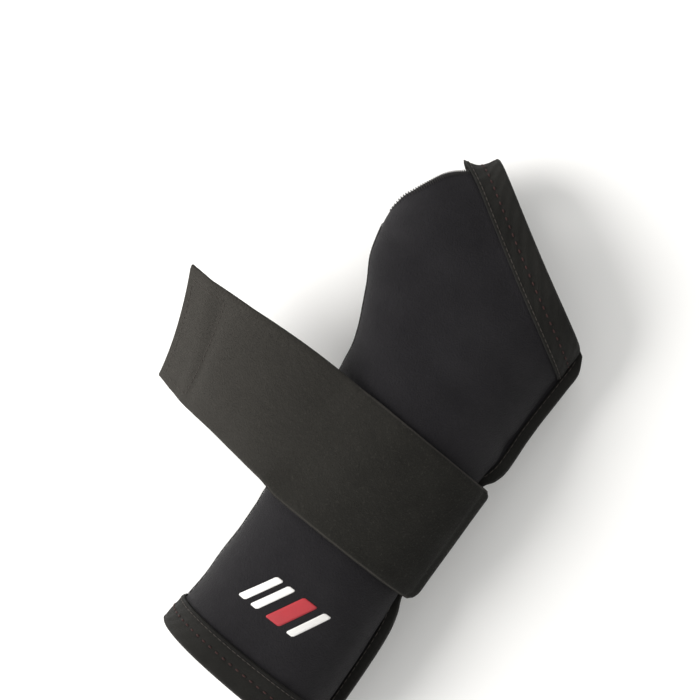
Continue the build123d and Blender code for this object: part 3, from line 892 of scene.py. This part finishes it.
# The selvedges are drawn paler, and a painted sheen lightens the free end more and more towards its tip,
# standing in for the light that the tip catches
tree = elastic_material.node_tree
shader = tree.nodes["Principled BSDF"]
place = node(tree, "ShaderNodeUVMap", uv_map="cloth")
split = node(tree, "ShaderNodeSeparateXYZ", [(0, place.outputs["UV"])])
from_middle = maths(tree, "SUBTRACT", maths(tree, "PINGPONG", split.outputs["X"], 0.505), 0.2525)
selvedge = node(tree, "ShaderNodeMapRange", [("Value", maths(tree, "ABSOLUTE", from_middle))],
                sockets={"From Min": 0.243, "From Max": 0.250, "To Max": 0.6})
fold_place, end_place = full_map[palm_count + 8, 0, 1], full_map[-1, 0, 1]
# Painted sheen: a mask that grows along the strap from the fold to the tip, standing in for light on the
# free end
painted_tip_sheen = node(tree, "ShaderNodeMapRange", [("Value", split.outputs["Y"])],
               sockets={"From Min": float(fold_place), "From Max": float(end_place), "To Max": 0.85})
painted_tip_sheen_eased = maths(tree, "POWER", painted_tip_sheen.outputs["Result"], 1.6)
pale_edges_and_painted_sheen = maths(tree, "MAXIMUM", selvedge.outputs["Result"], painted_tip_sheen_eased)
base_color = shader.inputs["Base Color"].links[0].from_socket
# Mix towards a paler colour on the selvedges and in the painted sheen of the free end
pale_edge_and_sheen_mix = node(tree, "ShaderNodeMix", [(0, pale_edges_and_painted_sheen), (6, base_color)],
                  data_type="RGBA", sockets={7: (0.056, 0.052, 0.046, 1)})
tree.links.new(pale_edge_and_sheen_mix.outputs[2], shader.inputs["Base Color"])


def strap_piece(name, first, last):
    """A closed stretch of the strap between two of its rows."""
    rings = full_rings[first:last]
    rows, columns = rings.shape[:2]
    half = strap_columns
    caps = []
    for base, flip in ((0, True), ((rows - 1) * columns, False)):
        loops = []
        for step in range(half - 1):
            low = base + 2 * half + 2 - step
            loops.append([base + step, base + step + 1, low - 1, low])
        loops.append([base + corner for corner in range(half - 1, half + 4)])
        loops.append([base + corner for corner in range(2 * half + 2, columns)] + [base])
        caps += loops if flip else [loop[::-1] for loop in loops]
    faces = [face[::-1] for face in sheet_faces(rows, columns, wrap=True)]
    return make_piece(name, rings, faces + caps, elastic_material, full_map[first:last], len(caps))


def row_near(reach):
    """The strap's row nearest to a distance along its free end."""
    return free_start + int(np.argmin(np.abs(free_reach - reach)))


cuts = [palm_count + back_count + leave_count // 2 - 1]
cuts += [row_near(link_length * (index + 0.5)) for index in range(4)]
cuts.append(len(all_rows) - 1)
strap_sleeve = strap_piece("strap_over_wrist", 0, cuts[0] + 1)
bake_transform(strap_sleeve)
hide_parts("strap_palmar_run", "strap_dorsal_run")
for index in range(5):
    first, last = cuts[index], cuts[index + 1]
    piece = strap_piece(f"strap_free_{index + 1}", first, last + 1)
    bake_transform(piece)
    if index < 4:
        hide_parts(f"strap_side_run_{index + 1}")
    else:
        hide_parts("strap_tip")


# ---- Hook patch ------------------------------------------------------------------------------
# A patch of moulded hook tape is sewn to the inner face of the strap's end: a thin backing with
# rows of small stiff hooks, which catch in the loop face of the strap under the palm.
hook_material = cloth_material(
    "moulded_hook_tape", cloth=(0.014, 0.014, 0.014), worn=(0.030, 0.030, 0.030), mottle=0.3,
    lint=0.35, roughness=0.5, weave=(1900, 1900, 0.2), relief=0.00005, fuzz=0.00002,
    specular=0.45)
hook_length = 17.0
hook_margin = 1.0
hook_wire = 0.13
hooks_in_row = 34
hook_first = row_near(free_end - hook_margin - hook_length)
hook_last = row_near(free_end - hook_margin)
hook_area = slice(hook_first, hook_last + 1), slice(2, strap_columns - 2)
hook_out = strap_out[hook_area]
hook_base = strap_inner[hook_area] - hook_out * 0.02
hook_face = strap_inner[hook_area] - hook_out * 0.6
backing_rings = np.concatenate([hook_base, hook_face[:, ::-1]], 1)
hook_paths, hook_normals = [], []
row_places = np.linspace(0.06, 0.94, 13)
column_places = np.linspace(0.02, 0.98, hooks_in_row)
for number, row_place in enumerate(row_places):
    at_row = row_place * (len(hook_base) - 1)
    row = int(at_row)
    blend_row = at_row - row
    line = hook_base[row] * (1 - blend_row) + hook_base[min(row + 1, len(hook_base) - 1)] * blend_row
    outs = hook_out[row]
    forward = unit(hook_base[-1, 10] - hook_base[0, 10])
    for column_place in column_places + (0.4 if number % 2 else -0.4) / hooks_in_row:
        at = np.clip(column_place, 0, 1) * (len(line) - 1)
        column = min(int(at), len(line) - 2)
        foot = line[column] * (1 - at + column) + line[column + 1] * (at - column)
        down = -outs[column]
        bend = forward if number % 2 else -forward
        hook_paths.append(np.array([
            foot + down * 0.55, foot + down * 1.0, foot + down * 1.25 + bend * 0.1,
            foot + down * 1.38 + bend * 0.34, foot + down * 1.22 + bend * 0.52]))
        hook_normals.append(np.tile(np.cross(bend, down), (5, 1)))
hook_threads = thread_mesh(np.array(hook_paths), np.array(hook_normals),
                           hook_wire * np.array([1.3, 1.0, 1.0, 0.9, 0.6]), sides=5)
hook_patch = shell("hook_patch_backing", backing_rings, hook_material, cloth_map(backing_rings))
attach(hook_patch, "strap_end")
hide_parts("hook_patch")
add_parts("hook_patch_hooks", [hook_threads], hook_material, "strap_end", "hook_patch")


# ---- Strap stitching -------------------------------------------------------------------------
# Lockstitch boxes sew the hook patch to the strap's end and the strap to the palm panel, and a
# row of short stitches crosses the strap beside the fin.
def strap_line(cells):
    """Line on the strap's outer face through (row, column) places."""
    rows = np.array([cell[0] for cell in cells], float)
    columns = np.array([cell[1] for cell in cells], float)
    row_low = np.clip(rows.astype(int), 0, len(strap_inner) - 2)
    column_low = np.clip(columns.astype(int), 0, strap_columns - 2)
    row_part = (rows - row_low)[:, None]
    column_part = (columns - column_low)[:, None]

    def read(grid):
        near = grid[row_low, column_low] * (1 - column_part) + grid[row_low, column_low + 1] * column_part
        far = grid[row_low + 1, column_low] * (1 - column_part)
        far = far + grid[row_low + 1, column_low + 1] * column_part
        return near * (1 - row_part) + far * row_part

    outward = read(strap_out)
    return read(strap_inner) + outward * (strap_thickness - 0.05), outward


def sewn_box(rows, columns):
    """Stitches along the four sides of a box on the strap."""
    corners = [(rows[0], columns[0]), (rows[1], columns[0]), (rows[1], columns[1]),
               (rows[0], columns[1]), (rows[0], columns[0])]
    part = np.linspace(0, 1, 60)[:, None]
    parts = []
    for near, far in zip(corners, corners[1:]):
        line, outward = strap_line(np.array(near) * (1 - part) + np.array(far) * part)
        parts.append(stitch_row(line, outward, pitch=2.5, length=1.9, radius=0.17, lift=0.1))
    return parts


hook_box = (hook_first + 1.5, hook_last - 1.5), (3.2, strap_columns - 4.2)
add_parts("hook_patch_stitches", sewn_box(*hook_box), pale_thread, "strap_end",
          "hook_patch_stitching")
anchor_box = (1.6, 9.5), (2.6, strap_columns - 3.6)
add_parts("anchor_stitches", sewn_box(*anchor_box), black_thread, "sleeve",
          "strap_anchor_stitching")
fold_columns = np.linspace(2.0, strap_columns - 3.0, 70)
fold_line = strap_line([(palm_count + 2.2, column) for column in fold_columns])
fold_row = stitch_row(*fold_line, pitch=2.4, length=0.9, radius=0.16, lift=0.12)
add_parts("fold_stitches", [fold_row], pale_thread, "sleeve",
          "strap_anchor_stitching")


# ---- Printed bars ----------------------------------------------------------------------------
# Plain slanted bars in rubber ink on the forearm, pressed on hot: three white and one red.
def ink_material(name, color, worn):
    return cloth_material(name, cloth=color, worn=worn, mottle=0.5, lint=0.25, roughness=0.55,
                          weave=(7000, 5200, 1.2), relief=0.00003, fuzz=0.00003, specular=0.4)


white_ink = ink_material("white_rubber_ink", (0.78, 0.77, 0.75), (0.62, 0.61, 0.60))
red_ink = ink_material("red_rubber_ink", (0.42, 0.022, 0.03), (0.28, 0.02, 0.03))
bar_first = -62.0
bar_last = -48.0
bar_width = 3.2
bar_lean = 0.55


def angle_any(station, across):
    """Angle on the back of the sleeve at a distance across it."""
    half = np.where(across < 0, along(sleeve_form, station, 1), along(sleeve_form, station, 2))
    turn = np.degrees(np.arccos((np.abs(across) / half) ** (section_roundness / 2)))
    return np.where(across < 0, 180 - turn, turn)


def bar_part(left, width):
    """One slanted bar with rounded corners, just standing out of the cloth."""
    rows = np.linspace(bar_first, bar_last, 26)
    shares = np.linspace(0, 1, 9)
    near_end = np.minimum(rows - bar_first, bar_last - rows)
    round_off = 0.5 * (1 - np.sqrt(np.clip(near_end / 0.6, 0, 1)))
    start = left + bar_lean * (rows - bar_first) + round_off
    stop = left + width + bar_lean * (rows - bar_first) - round_off
    rings = []
    for share in shares:
        across = start + (stop - start) * share
        edge = 0.06 if share in (0, 1) else 0.16
        rings.append(sleeve_point(rows, angle_any(rows, across), edge))
    for share in shares[::-1]:
        across = start + (stop - start) * share
        rings.append(sleeve_point(rows, angle_any(rows, across), -0.1))
    rings = np.stack(rings, 1)[:, ::-1]
    grid = rings.shape[:2]
    faces = sheet_faces(*grid, wrap=True) + end_faces(*grid)
    return rings.reshape(-1, 3), faces, cloth_map(rings).reshape(-1, 2)


for name, lefts, width, material, cad_node, slot in (
    ("white_bars", (-17, -11.5, 5), bar_width, white_ink, "print_bars_white", "white_print"),
    ("red_bar", (-4.5,), 2 * bar_width, red_ink, "print_bar_red", "red_print"),
):
    bars = [bar_part(left, width) for left in lefts]
    add_parts(name, bars, material, "sleeve", cad_node)


# ---- Floor, light and camera -----------------------------------------------------------------
# A plain pale floor, an even pale sky, a large soft light low on the thumb side, a faint one
# towards the hand, and a view straight down.
floor_mesh = bpy.data.meshes.new("floor")
floor_size = 3.0
floor_corners = [(across * floor_size, forward * floor_size, 0)
                 for across, forward in ((-1, -1), (1, -1), (1, 1), (-1, 1))]
floor_mesh.from_pydata(floor_corners, [], [(0, 1, 2, 3)])
floor_material = bpy.data.materials.new("pale_floor")
floor_material.use_nodes = True
floor_shader = floor_material.node_tree.nodes["Principled BSDF"]
floor_shader.inputs["Base Color"].default_value = (0.93, 0.93, 0.92, 1)
floor_shader.inputs["Roughness"].default_value = 0.9
floor_shader.inputs["Specular IOR Level"].default_value = 0.1
floor_mesh.materials.append(floor_material)
floor = bpy.data.objects.new("floor", floor_mesh)
bpy.context.collection.objects.link(floor)

world = bpy.data.worlds.new("studio")
bpy.context.scene.world = world
world.use_nodes = True
background = world.node_tree.nodes["Background"]
background.inputs["Color"].default_value = (1.0, 0.995, 0.98, 1)
background.inputs["Strength"].default_value = 0.7


def soft_light(name, place, target, size, power, color=(1, 1, 1)):
    """A round soft light aimed at a point."""
    light = bpy.data.lights.new(name, "AREA")
    light.shape = "DISK"
    light.size = size
    light.energy = power
    light.color = color
    lamp = bpy.data.objects.new(name, light)
    lamp.location = place
    aim = Vector(target) - Vector(place)
    lamp.rotation_euler = aim.to_track_quat("-Z", "Y").to_euler()
    bpy.context.collection.objects.link(lamp)


soft_light("key", (-1.0, -0.65, 0.8), (0, 0, 0.03), 1.2, 33, (1.0, 0.98, 0.96))
soft_light("fill", (-0.5, 0.9, 1.0), (0, 0.02, 0.03), 0.9, 2)

camera_data = bpy.data.cameras.new("camera")
camera_data.angle = math.radians(18.08)
camera_data.clip_start = 0.05
camera = bpy.data.objects.new("camera", camera_data)
camera.location = (-0.0362, 0.0344, 0.852)
camera.rotation_euler = (0, 0, math.radians(36))
bpy.context.collection.objects.link(camera)
bpy.context.scene.camera = camera
bpy.context.scene.view_settings.view_transform = "Standard"
